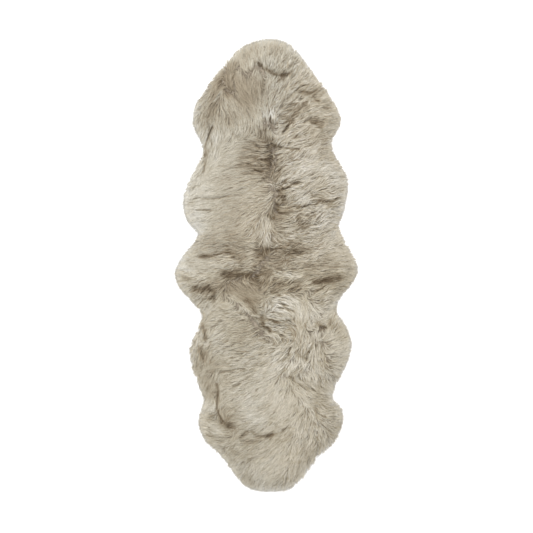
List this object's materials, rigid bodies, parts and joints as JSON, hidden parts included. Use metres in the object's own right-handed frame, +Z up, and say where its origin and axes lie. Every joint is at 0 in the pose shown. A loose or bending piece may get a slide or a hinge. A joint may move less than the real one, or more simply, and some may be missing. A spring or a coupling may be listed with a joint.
{
  "type": "double sheepskin rug",
  "caption": "Long rug of two tanned sheepskins sewn end to end, with a lobed outline and long soft wool, that lies flat on a floor.",
  "frame": {"origin": "on the floor under the middle of the rug's box", "axes": "+Y along the rug to the head of the upper skin, +Z up out of the wool"},
  "size_m": [0.7186, 1.8, 0.0596],
  "materials": {
    "wool": "soft combed wool, taupe",
    "tanned_hide": "suede, undyed cream"
  },
  "bodies": {
    "root": {"hide_upper": "tanned_hide", "hide_lower": "tanned_hide", "wool_upper": "wool", "wool_lower": "wool"}
  },
  "joints": []
}
